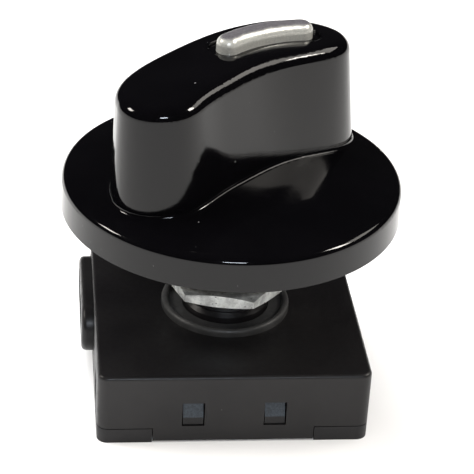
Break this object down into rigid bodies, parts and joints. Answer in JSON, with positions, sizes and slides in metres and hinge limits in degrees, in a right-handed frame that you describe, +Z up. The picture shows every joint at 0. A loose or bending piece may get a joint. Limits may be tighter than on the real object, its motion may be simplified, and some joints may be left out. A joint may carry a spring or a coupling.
{
  "type": "battery switch",
  "caption": "Panel-mounted rotary battery isolator with a square snap-together housing, threaded neck with hexagon nut and a large disc knob with a curved comma-shaped grip and silver pointer.",
  "frame": {"origin": "centre of the housing's underside, on the knob's axis", "axes": "+Z up along the knob's axis, -Y out of the front face that has two snap windows, -X out of the wall with the cable entries"},
  "size_m": [0.0628, 0.0628, 0.0678],
  "materials": {
    "cover_plastic": "fine satin moulding grain",
    "base_plastic": "fine satin moulding grain",
    "insert_plastic": "satin",
    "gasket_rubber": "soft matte",
    "zinc_nut": "rough zinc plate",
    "knob_gloss": "polished",
    "silver_bar": "satin silver",
    "spring_steel": "smooth",
    "shaft_steel": "turned",
    "seal_rubber": "smooth",
    "rotor_plastic": "natural nylon",
    "copper": "rolled copper",
    "contact_silver": "satin silver",
    "terminal_brass": "plated",
    "screw_steel": "zinc plated"
  },
  "bodies": {
    "housing": {"housing_cover": "cover_plastic", "base_plate": "base_plastic", "entry_insert": "insert_plastic", "panel_gasket": "gasket_rubber", "fixed_contact_a": "copper", "fixed_contact_b": "copper", "fixed_tips": "contact_silver", "terminal_clamps": "terminal_brass", "detent_springs": "spring_steel"},
    "knob_group": {"knob": "knob_gloss", "indicator_bar": "silver_bar", "knob_clip": "spring_steel", "shaft": "shaft_steel", "shaft_o_ring": "seal_rubber", "shaft_circlip": "spring_steel", "thrust_washer": "shaft_steel", "rotor": "rotor_plastic", "contact_bridge": "copper", "bridge_tips": "contact_silver", "contact_spring": "spring_steel"},
    "nut": {"panel_nut": "zinc_nut"},
    "clamp_screw_a": {"terminal_screw_a": "screw_steel"},
    "clamp_screw_b": {"terminal_screw_b": "screw_steel"}
  },
  "joints": [
    {"name": "knob_turn", "type": "hinge", "parent": "housing", "child": "knob_group", "pos_m": [0, 0, 0], "axis": [0, 0, 1], "range_deg": [0, 90], "deforming": ["detent_springs"]},
    {"name": "nut_travel", "type": "slide", "parent": "housing", "child": "nut", "axis": [0, 0, 1], "range_m": [-0.004, 0.0044]},
    {"name": "screw_a_travel", "type": "slide", "parent": "housing", "child": "clamp_screw_a", "axis": [0, 0, 1], "range_m": [0, 0.003]},
    {"name": "screw_b_travel", "type": "slide", "parent": "housing", "child": "clamp_screw_b", "axis": [0, 0, 1], "range_m": [0, 0.003]}
  ]
}
